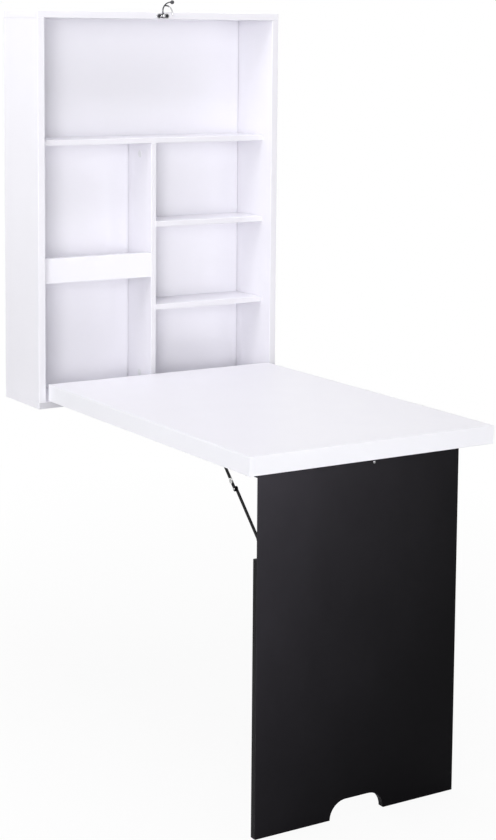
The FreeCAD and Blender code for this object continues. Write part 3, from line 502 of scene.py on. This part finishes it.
# The radii of the head and of the thread, the head's depth, and its form.
Screw = namedtuple("Screw", "head shank depth form")
FLAT_SCREW = Screw(3.0 * MM, 1.6 * MM, 1.0 * MM, "flat")
LATCH_SCREW = Screw(4.5 * MM, 1.6 * MM, 1.4 * MM, "domed")
SMALL_SCREW = Screw(3.0 * MM, 1.6 * MM, 1.0 * MM, "domed")
CONFIRMAT = Screw(4.5 * MM, 2.5 * MM, 5.0 * MM, "socket")

# Each head's outline from its underside up, as shares of its radius and of its depth below the face.
HEAD_OUTLINES = {
    "flat": ((0.9, 0.35), (1.0, 0.2), (0.97, 0.0), (0.0, 0.0)),
    "domed": ((0.97, 1.0), (1.0, 0.82), (0.93, 0.5), (0.76, 0.22), (0.5, 0.06), (0.0, 0.0)),
    "socket": ((1.0, 1.0), (1.0, 0.08), (0.92, 0.0), (0.0, 0.0)),
}
HEAD_SIDES = 20

# The thread, from the point up. Lengths and radii are shares of the shank's radius.
THREAD_TURNS = 7
THREAD_START, THREAD_END = 1.8, 0.6
THREAD_ROOT = 0.68
POINT_RADIUS, POINT_LENGTH = 0.35, 0.9
NECK_RADIUS, NECK_LENGTH = 0.75, 0.5

# The cross in a head: its reach as a share of the head's radius, how deep it may go as shares of the
# head's depth and radius, and each blade's length and width at its tip and above the head.
CROSS_REACH = 0.56
CROSS_DEPTHS = 0.75, 0.4
BLADE_TIP = 0.9, 0.26
BLADE_TOP = 2.0, 0.44
BLADE_RISE = 0.6

# The hexagon key's radius as a share of the head's radius, and how deep it goes at its middle and rim.
KEY_SIDES = 6
KEY_RADIUS = 0.42
KEY_DEPTHS = 0.7, 0.6

SIDE_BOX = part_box("side_panel_left")
CABINET_MIDDLE = (SIDE_BOX[0].z + SIDE_BOX[1].z) / 2.0


def cross_blades(reach, depth):
    """The two tapered blades that a screwdriver's cross leaves in a head, cut one after the other."""
    blades = []
    for turn in (0, 1):
        blade = bmesh.new()
        bmesh.ops.create_cube(blade, size=1.0)
        for vertex in blade.verts:
            deep = vertex.co.z < 0.0
            long, wide = BLADE_TIP if deep else BLADE_TOP
            x, y = vertex.co.x * reach * long, vertex.co.y * reach * wide
            vertex.co = ((x, y), (-y, x))[turn] + ((-depth if deep else depth * BLADE_RISE),)
        blades.append(blade)
    return blades


def thread_outline(screw, length):
    """The outline of a screw's threaded shank, from its point up to the underside of its head."""
    shank = screw.shank
    start = -length + THREAD_START * shank
    pitch = (-screw.depth - THREAD_END * shank - start) / THREAD_TURNS
    outline = [(0.0, -length), (POINT_RADIUS * shank, -length + POINT_LENGTH * shank)]
    for step in range(THREAD_TURNS):
        outline += [(THREAD_ROOT * shank, start + step * pitch), (shank, start + (step + 0.5) * pitch)]
    return outline + [(NECK_RADIUS * shank, -screw.depth - NECK_LENGTH * shank), (shank, -screw.depth)]


def screw_shape(screw, length):
    """A screw below the origin, its head's face looking up +Z: flat, domed or with a hexagon socket."""
    head, depth = screw.head, screw.depth
    rim = [(across * head, -down * depth) for across, down in HEAD_OUTLINES[screw.form]]
    shape = turned(thread_outline(screw, length) + rim, HEAD_SIDES)
    if screw.form == "socket":
        key = KEY_RADIUS * head
        middle_depth, rim_depth = (share * depth for share in KEY_DEPTHS)
        hexagon = [(0.0, -middle_depth), (key, -rim_depth), (key, depth), (0.0, depth)]
        return cut_away(shape, turned(hexagon, KEY_SIDES))
    cross_depth = min(CROSS_DEPTHS[0] * depth, CROSS_DEPTHS[1] * head)
    for blade in cross_blades(CROSS_REACH * head, cross_depth):
        shape = cut_away(shape, blade)
    return shape


def out_of_cabinet(box):
    """The way that a screw in the cabinet's top or bottom looks: up or down."""
    low, high = box
    return UP if (low.z + high.z) / 2.0 > CABINET_MIDDLE else DOWN


def make_screws(node, name, finish, way, screw):
    """Screws in place of a CAD node's plain ones.

    The way is the one that their heads look, or None for screws that look out of the cabinet.
    """
    shapes = []
    for box in solids_of(node):
        looks = way or out_of_cabinet(box)
        length = max(box[1] - box[0])
        shapes.append(placed(screw_shape(screw, length), head_face(box, looks), looks))
    add_piece(name, joined(shapes), node, finish)


def make_all_screws():
    """Every screw of the desk: the hinges', the stays', the carcass's, the latch's and the board's."""
    make_screws("desk_hinge_cabinet_screws", "deck_hinge_screws", "zinc_fittings", UP, FLAT_SCREW)
    make_screws("desk_hinge_desk_screws", "rail_hinge_screws", "zinc_fittings", BACK, FLAT_SCREW)
    make_screws("leg_hinge_desk_screws", "ceiling_hinge_screws", "zinc_fittings", DOWN, FLAT_SCREW)
    make_screws("leg_hinge_leg_screws", "leg_rear_hinge_screws", "zinc_fittings", BACK, FLAT_SCREW)
    make_screws("stay_desk_screws", "desk_bracket_screws", "zinc_fittings", DOWN, FLAT_SCREW)
    make_screws("stay_leg_screws", "leg_bracket_screws", "zinc_fittings", BACK, FLAT_SCREW)
    make_screws("assembly_screws", "carcass_confirmats", "zinc_fittings", None, CONFIRMAT)
    # The latch's domed screws are chrome with a painted dark reflection.
    make_screws("latch_screws", "latch_domed_screws", "dark_chrome", FRONT, LATCH_SCREW)
    make_screws("chalkboard_screw", "chalkboard_domed_screw", "dull_steel", FRONT, SMALL_SCREW)


# ---------------------------------------------------------------- rivets and pins

# The radii of a rivet's head and shank, how high the head rises, and whether the far end has one too.
Rivet = namedtuple("Rivet", "head shank rise far_head")
PIVOT_RIVET = Rivet(3.5 * MM, 2.0 * MM, 1.0 * MM, True)
ELBOW_RIVET = Rivet(4.0 * MM, 2.0 * MM, 1.0 * MM, False)
ELBOW_CAP = Rivet(3.5 * MM, 2.0 * MM, 1.0 * MM, False)
LOCK_RIVET = Rivet(5.5 * MM, 2.0 * MM, 1.2 * MM, False)
RIVET_SIDES = 24

DOME_STEPS = 5
DOME_RIM = 0.25
DOME_UNDERSIDE = 0.96

# The silver dot on each elbow: its radius, and its foot, underside and top from the rivet's face.
DOT_RADIUS = 1.9 * MM
DOT_FOOT, DOT_UNDERSIDE, DOT_TOP = -0.4 * MM, -0.3 * MM, 0.35 * MM
SMALL_SIDES = 20

# A hinge pin's rounded end: radius and distance from the tip, as shares of the pin's radius.
PIN_END = (0.0, 0.0), (0.7, 0.05), (1.0, 0.35)


def dome(radius, base, top):
    """The outline of a rivet's domed head, from its rim at the base height to its middle at the top."""
    angles = [0.5 * math.pi * step / DOME_STEPS for step in range(1, DOME_STEPS)]
    rim = base + DOME_RIM * (top - base)
    rise = [(radius * math.cos(a), rim + (top - rim) * math.sin(a)) for a in angles]
    return [(radius * DOME_UNDERSIDE, base), (radius, rim)] + rise + [(0.0, top)]


def rivet_shape(rivet, length):
    """A rivet below the origin with a domed head looking up +Z, and perhaps another at its far end."""
    head = dome(rivet.head, -rivet.rise, 0.0)
    if rivet.far_head:
        lower = [(r, -length - h) for r, h in reversed(head)] + [(rivet.shank, rivet.rise - length)]
    else:
        lower = [(0.0, -length), (rivet.shank, -length)]
    return turned(lower + [(rivet.shank, -rivet.rise)] + head, RIVET_SIDES)


def rivet_in(box, rivet, way):
    """A rivet along X in the place of a CAD one's box, its head looking a way."""
    return placed(rivet_shape(rivet, box[1].x - box[0].x), head_face(box, way), way)


def make_pivot_rivets(node, name):
    """The two-headed rivets that the stays turn on, in their brackets on the desk or on the leg."""
    rivets = []
    for box in solids_of(node):
        outwards = LEFT if box[0].x < 0.0 else RIGHT
        rivets.append(rivet_in(box, PIVOT_RIVET, outwards))
    add_piece(name, joined(rivets), node, "black_steel")


def make_elbow(side, outwards, inwards):
    """One stay's elbow rivet with its silver dot, the cap on its inner end, and the lock rivet."""
    node = "stay_elbow_rivet_" + side
    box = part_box(node)
    add_piece("elbow_boss_" + side, rivet_in(box, ELBOW_RIVET, outwards), node, "black_steel")
    dot = turned([(0.0, DOT_FOOT)] + dome(DOT_RADIUS, DOT_UNDERSIDE, DOT_TOP), SMALL_SIDES)
    dot = placed(dot, head_face(box, outwards), outwards)
    add_piece("elbow_dot_" + side, dot, node, "bright_steel", stands_for=False)
    node = "stay_elbow_cap_" + side
    add_piece("elbow_cap_" + side, rivet_in(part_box(node), ELBOW_CAP, inwards), node, "bright_steel")
    node = "stay_lock_rivet_" + side
    add_piece("lock_rivet_" + side, rivet_in(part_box(node), LOCK_RIVET, outwards), node, "bright_steel")


def hinge_pin(box):
    """A pin along X with rounded ends, as long and thick as a CAD one's box."""
    length, radius = box[1].x - box[0].x, (box[1].z - box[0].z) / 2.0
    ends = [(across * radius, inwards * radius) for across, inwards in PIN_END]
    outline = [(r, h - length) for r, h in ends] + [(r, -h) for r, h in reversed(ends)]
    return placed(turned(outline, SMALL_SIDES), head_face(box, RIGHT), RIGHT)


def make_hinge_pins(node, name):
    """The pins of two hinges, in place of a CAD node's plain ones."""
    add_piece(name, joined([hinge_pin(box) for box in solids_of(node)]), node, "zinc_fittings")


def make_rivets():
    """Every rivet and pin of the stays and hinges."""
    make_pivot_rivets("stay_desk_rivets", "desk_pivot_rivets")
    make_pivot_rivets("stay_leg_rivets", "leg_pivot_rivets")
    make_elbow("left", LEFT, RIGHT)
    make_elbow("right", RIGHT, LEFT)
    make_hinge_pins("desk_hinge_pins", "desk_hinge_wires")
    make_hinge_pins("leg_hinge_pins", "leg_hinge_wires")


# ---------------------------------------------------------------- latch

# The hook lies in one plane in front of its plate. Places (x, z) are millimetres from its rivet.
HOOK_PLANE = -173.1 * MM
LEVER_CENTRE, LEVER_RADIUS = (17.375, 10.0), 20.0 * MM
LEVER_SWEEP, LEVER_STEPS = (207.0, 90.0), 26
LEVER_END = (20.0, 30.0)
LEVER_WIDE, LEVER_THICK = 1.85 * MM, 1.5 * MM
LEVER_TAPER = 0.32
CLAW_CENTRE, CLAW_RADIUS = (4.9, 5.6), 16.8 * MM
ROOT_SWEEP, ROOT_STEPS = (102.0, 66.0), 10
ROOT_WIDE, ROOT_THICK = 1.56 * MM, 1.46 * MM
CLAW_SWEEP, CLAW_STEPS = (66.0, -12.0), 20
# The claw's half sizes in millimetres: at its root, and what it loses towards its tip.
CLAW_WIDE, CLAW_THICK = (1.55, 0.6), (1.45, 0.5)
ROD_SIDES = 18
# How a rod's end rounds off: steps outwards and what is left of its size, as shares of its half width.
ROD_TIP = (0.5, 0.87), (0.87, 0.5), (0.99, 0.14)

# The hub's disc has the same rounded edge on both faces: (radius, height) in millimetres.
DISC_EDGE = (4.4, 1.5), (5.0, 1.2), (5.2, 0.6)
DISC_SIDES = 32
BALL_CENTRE, BALL_RADIUS = (20.9, 30.0), 4.4
BALL_START, BALL_STEP = 40, 10
BALL_NECK = [(0.0, -4.6), (1.2, -4.55), (2.1, -4.3)]
BALL_SIDES = 28
HUB_SHANK, HUB_RISE = 2.0 * MM, 1.2 * MM


def from_hub(hub, place):
    """A point of the hook's plane, from its place in millimetres from the rivet."""
    x, z = place
    return hub + Vector((x, 0.0, z)) * MM


def arc(centre, radius, sweep, steps):
    """Points on an arc in the hook's plane: the sweep's angles are degrees, from +X towards +Z."""
    start, end = sweep
    angles = [math.radians(start + (end - start) * step / steps) for step in range(steps + 1)]
    return [centre + radius * Vector((math.cos(a), 0.0, math.sin(a))) for a in angles]


def bent_rod(points, wide, thick):
    """A rod bent in a plane that faces the front: wide and thick are its half sizes at each point."""
    shape = bmesh.new()
    rings = []
    for i, point in enumerate(points):
        along = (points[min(i + 1, len(points) - 1)] - points[max(i - 1, 0)]).normalized()
        across = along.cross(Vector(BACK))
        ring = []
        for step in range(ROD_SIDES):
            angle = 2.0 * math.pi * step / ROD_SIDES
            sideways = across * wide[i] * math.cos(angle)
            inwards = Vector((0.0, thick[i] * math.sin(angle), 0.0))
            ring.append(shape.verts.new(point + sideways + inwards))
        rings.append(ring)
    for lower, upper in zip(rings, rings[1:]):
        for step in range(ROD_SIDES):
            ahead = (step + 1) % ROD_SIDES
            shape.faces.new((lower[step], lower[ahead], upper[ahead], upper[step]))
    shape.faces.new(rings[0])
    shape.faces.new(rings[-1])
    return shape


def rounded_rod(points, wide, thick):
    """A bent rod with a short tapering run added at both ends of its line."""
    for end, inner in ((0, 1), (-1, -2)):
        way = (points[end] - points[inner]).normalized()
        tip, tip_wide, tip_thick = points[end], wide[end], thick[end]
        for go, keep in ROD_TIP:
            place = 0 if end == 0 else len(points)
            points.insert(place, tip + way * tip_wide * go)
            wide.insert(place, tip_wide * keep)
            thick.insert(place, tip_thick * keep)
    return bent_rod(points, wide, thick)


def lever_rod(hub):
    """The lever's curved arm, which thins a little towards its ball."""
    line = arc(from_hub(hub, LEVER_CENTRE), LEVER_RADIUS, LEVER_SWEEP, LEVER_STEPS)
    line.append(from_hub(hub, LEVER_END))
    taper = [1.0 - LEVER_TAPER * i / len(line) for i in range(len(line))]
    wide = [LEVER_WIDE * share for share in taper]
    thick = [LEVER_THICK * share for share in taper]
    return rounded_rod(line, wide, thick)


def claw_root(hub):
    """The first stretch of the claw's arc, where it leaves the lever, in chrome with a painted dark
    reflection.
    """
    line = arc(from_hub(hub, CLAW_CENTRE), CLAW_RADIUS, ROOT_SWEEP, ROOT_STEPS)
    return bent_rod(line, [ROOT_WIDE] * len(line), [ROOT_THICK] * len(line))


def thinning(full, lost, count):
    """Half sizes in metres that start full and lose more and more along a rod."""
    return [(full - lost * (i / count) ** 3) * MM for i in range(count)]


def claw_rod(hub):
    """The bright rest of the claw, which thins out towards its tip."""
    line = arc(from_hub(hub, CLAW_CENTRE), CLAW_RADIUS, CLAW_SWEEP, CLAW_STEPS)
    return rounded_rod(line, thinning(*CLAW_WIDE, len(line)), thinning(*CLAW_THICK, len(line)))


def hub_disc(hub):
    """The thin round disc of the hook that the rivet holds."""
    lower = [(radius, -height) for radius, height in DISC_EDGE]
    face = DISC_EDGE[0][1]
    outline = [(0.0, -face)] + lower + list(reversed(DISC_EDGE)) + [(0.0, face)]
    return placed(turned(in_mm(outline), DISC_SIDES), hub, FRONT)


def lever_ball(hub):
    """The ball at the lever's end, with the neck that it grows from."""
    angles = [math.radians(degrees) for degrees in range(BALL_START, 180, BALL_STEP)]
    ball = [(BALL_RADIUS * math.sin(a), -BALL_RADIUS * math.cos(a)) for a in angles]
    outline = BALL_NECK + ball + [(0.0, BALL_RADIUS)]
    return placed(turned(in_mm(outline), BALL_SIDES), from_hub(hub, BALL_CENTRE), RIGHT)


def make_latch():
    """The swivel hook, a bent lever with a ball and a claw that rises from it, and its rivet."""
    low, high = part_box("latch_pivot")
    hub = Vector(((low.x + high.x) / 2.0, HOOK_PLANE, (low.z + high.z) / 2.0))
    lever = joined([lever_rod(hub), claw_root(hub), hub_disc(hub), lever_ball(hub)])
    # Lever, claw root, hub and ball in chrome with a painted dark reflection; the rest of the claw stays
    # bright.
    add_piece("latch_lever", lever, "latch_hook", "dark_chrome")
    add_piece("latch_claw", claw_rod(hub), "latch_hook", "chromed_latch")
    rivet = rivet_shape(Rivet(high.x - hub.x, HUB_SHANK, HUB_RISE, False), high.y - low.y)
    rivet = placed(rivet, Vector((hub.x, low.y, hub.z)), FRONT)
    add_piece("latch_pivot_rivet", rivet, "latch_pivot", "chromed_latch")


# ---------------------------------------------------------------- cabinet details

# A cam's cap in millimetres from the board's face: its rounded rim, then its slightly sunk middle.
CAP_RIM = [(0.0, -0.2), (7.5, -0.2), (7.5, 0.25), (7.3, 0.5), (6.9, 0.66), (6.3, 0.7)]
CAP_FACE = [(5.6, 0.7), (5.3, 0.5), (5.0, 0.5), (4.6, 0.58), (0.0, 0.62)]
CAP_SIDES = 36

SEAM_WIDTH, SEAM_DEPTH = 1.8 * MM, 2.2 * MM
OVERCUT, SEAM_OVERCUT = 1.0 * MM, 0.01 * MM


def make_cam_covers():
    """A thin plastic cap over each cam, as it closes the hole in the board's face."""
    shapes = []
    for box in solids_of("cam_locks"):
        size = box[1] - box[0]
        way = LEFT if size.x < size.z else DOWN
        shapes.append(placed(turned(in_mm(CAP_RIM + CAP_FACE), CAP_SIDES), head_face(box, way), way))
    add_piece("cam_cover_caps", joined(shapes), "cam_locks", "cap_plastic", stands_for=False)


def make_back_board():
    """The back panel, with the narrow seam that shows where it meets the sides and the divider."""
    shape = welded("back_panel")
    low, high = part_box("back_panel")
    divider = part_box("centre_divider")
    divider_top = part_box("upper_shelf")[0].z
    inner = SIDE_BOX[1].x
    seams = (
        (inner, inner + SEAM_WIDTH, high.z),
        (-inner - SEAM_WIDTH, -inner, high.z),
        (divider[0].x - SEAM_WIDTH, divider[0].x, divider_top),
        (divider[1].x, divider[1].x + SEAM_WIDTH, divider_top),
    )
    for left, right, top in seams:
        near = (left - SEAM_OVERCUT, low.y - OVERCUT, low.z - OVERCUT)
        far = (right + SEAM_OVERCUT, low.y + SEAM_DEPTH, top + OVERCUT)
        shape = cut_away(shape, block(near, far))
    add_piece("back_board", shape, "back_panel", "white_laminate")


# ---------------------------------------------------------------- eased edges

OTHER_BOARDS = (
    "shelf_apron desk_board desk_rail_front desk_rail_rear desk_rail_left desk_rail_right "
    "desk_edge_band leg_board chalkboard lower_rail"
).split()
FITTINGS = (
    "latch_base desk_hinge_cabinet_leaves desk_hinge_desk_leaves leg_hinge_desk_leaves "
    "leg_hinge_leg_leaves stay_desk_brackets stay_leg_brackets stay_upper_arm_left "
    "stay_upper_arm_right stay_lower_arm_left stay_lower_arm_right"
).split()
BOARD_EASE, FITTING_EASE = 0.5 * MM, 0.25 * MM
EASE_WELD = 1e-6


def ease_edges():
    """Breaks the sharp edges of the CAD boards and fittings, so that they catch the light."""
    for names, width in ((CARCASS + OTHER_BOARDS, BOARD_EASE), (FITTINGS, FITTING_EASE)):
        for name in names:
            item = NODES[name]
            weld = item.modifiers.new("weld", "WELD")
            weld.merge_threshold = EASE_WELD
            bevel = item.modifiers.new("eased_edges", "BEVEL")
            bevel.width = width
            bevel.segments = 2
            bevel.limit_method = "ANGLE"
            bevel.angle_limit = SHARP
            bevel.miter_outer = "MITER_ARC"
            even = item.modifiers.new("even_normals", "WEIGHTED_NORMAL")
            even.keep_sharp = False


# ---------------------------------------------------------------- floor and world

# The floor lies just below the leg's foot and reaches far past the camera.
FLOOR_GAP = 0.3 * MM
FLOOR = CAD_BOX[0][2] - FLOOR_GAP
FLOOR_REACH = 14.0
FLOOR_PALE = (0.80, 0.80, 0.805), (0.82, 0.82, 0.825)
# The camera sees the floor nearly white near the desk, and quite white from the fade's end on.
FADE_START, FADE_END = 1.4, 2.6
NEAR_WHITENESS = 0.9
PURE_WHITE = (1.0, 1.0, 1.0, 1.0)
STUDIO_WHITE, STUDIO_STRENGTH = (0.99, 0.99, 1.0, 1.0), 0.16


def make_floor():
    """A plain pale floor that fades to white, and keeps part of the desk's shadow."""
    mesh = bpy.data.meshes.new("floor")
    signs = ((-1, -1), (1, -1), (1, 1), (-1, 1))
    mesh.from_pydata([(x * FLOOR_REACH, y * FLOOR_REACH, FLOOR) for x, y in signs], [], [(0, 1, 2, 3)])
    floor = bpy.data.objects.new("floor", mesh)
    bpy.context.scene.collection.objects.link(floor)
    made = Nodes("floor")
    speck = made.noise(scale=120.0)
    made.shade(Base_Color=made.blend(made.ramp(speck), *FLOOR_PALE), Roughness=0.8)
    made.bump(speck, distance=0.0002, strength=0.2)
    glow = made.add("ShaderNodeEmission", Color=PURE_WHITE, Strength=1.0)
    away = reckon(made.tree, "LENGTH", made.coords, kind="ShaderNodeVectorMath")
    whiteness = made.ramp(away, low=NEAR_WHITENESS, start=FADE_START, end=FADE_END)
    camera_ray = made.add("ShaderNodeLightPath").outputs["Is Camera Ray"]
    seen = reckon(made.tree, "MULTIPLY", camera_ray, whiteness)
    show_mix(made.tree, seen, made.shader.outputs[0], glow.outputs[0], "Material Output")
    mesh.materials.append(made.material)


def make_world():
    """Even studio light from all round, and a white background for the camera and for gloss."""
    world = bpy.data.worlds.new("studio")
    world.use_nodes = True
    tree = world.node_tree
    light = tree.nodes["Background"]
    light.inputs["Color"].default_value = STUDIO_WHITE
    light.inputs["Strength"].default_value = STUDIO_STRENGTH
    white = tree.nodes.new("ShaderNodeBackground")
    white.inputs["Color"].default_value = PURE_WHITE
    rays = tree.nodes.new("ShaderNodeLightPath")
    share = rays.outputs["Is Camera Ray"]
    for kind in ("Is Glossy Ray", "Is Transmission Ray"):
        share = reckon(tree, "MAXIMUM", share, rays.outputs[kind])
    show_mix(tree, share, light.outputs[0], white.outputs[0], "World Output")
    bpy.context.scene.world = world
    bpy.context.scene.view_settings.view_transform = "Standard"


# ---------------------------------------------------------------- lights

DESK_MIDDLE = (0.0, -0.5, -0.6)
# Each lamp's place and target, its width and height in metres, and its power in watts.
LAMPS = {
    "front_light": ((-5.8, -8.3, 1.4), DESK_MIDDLE, 3.2, 3.2, 246.0),
    "low_front_light": ((-5.2, -8.5, -0.2), (0.0, -0.3, -0.4), 2.8, 2.2, 275.0),
    "floor_fill_light": ((0.2, -4.6, -0.7), DESK_MIDDLE, 1.6, 1.2, 4.0),
    "top_light": ((0.0, -1.0, 2.3), (0.0, -0.6, -0.7), 2.4, 2.0, 49.0),
    "top_left_light": ((-1.6, -1.2, 2.0), DESK_MIDDLE, 1.6, 1.6, 16.0),
    "left_light": ((-3.2, -0.6, 0.8), DESK_MIDDLE, 2.0, 2.0, 14.0),
    "near_left_light": ((-1.7, -0.3, 0.7), (-0.3, -0.2, -0.3), 1.0, 1.0, 7.5),
    "sheen_light": ((1.35, -3.3, -1.15), (-0.2, -0.93, -0.8), 0.7, 0.5, 6.5),
    "back_light": ((0.0, 3.4, -0.4), (0.0, 0.0, -0.4), 1.2, 1.4, 60.0),
    "right_back_light": ((3.3, 1.2, -0.9), (0.25, -0.1, -0.4), 1.6, 0.8, 26.0),
}


def make_lights():
    """Wide soft lamps, aimed at the desk."""
    for name, (place, target, width, height, power) in LAMPS.items():
        data = bpy.data.lights.new(name, "AREA")
        data.shape = "RECTANGLE"
        data.size = width
        data.size_y = height
        data.energy = power
        lamp = bpy.data.objects.new(name, data)
        lamp.location = place
        lamp.rotation_euler = (Vector(target) - Vector(place)).to_track_quat("-Z", "Y").to_euler()
        bpy.context.scene.collection.objects.link(lamp)


# ---------------------------------------------------------------- scene

make_camera()
make_floor()
make_world()
make_lights()
dress_nodes()
ease_edges()
make_back_board()
make_cam_covers()
make_all_screws()
make_rivets()
make_latch()
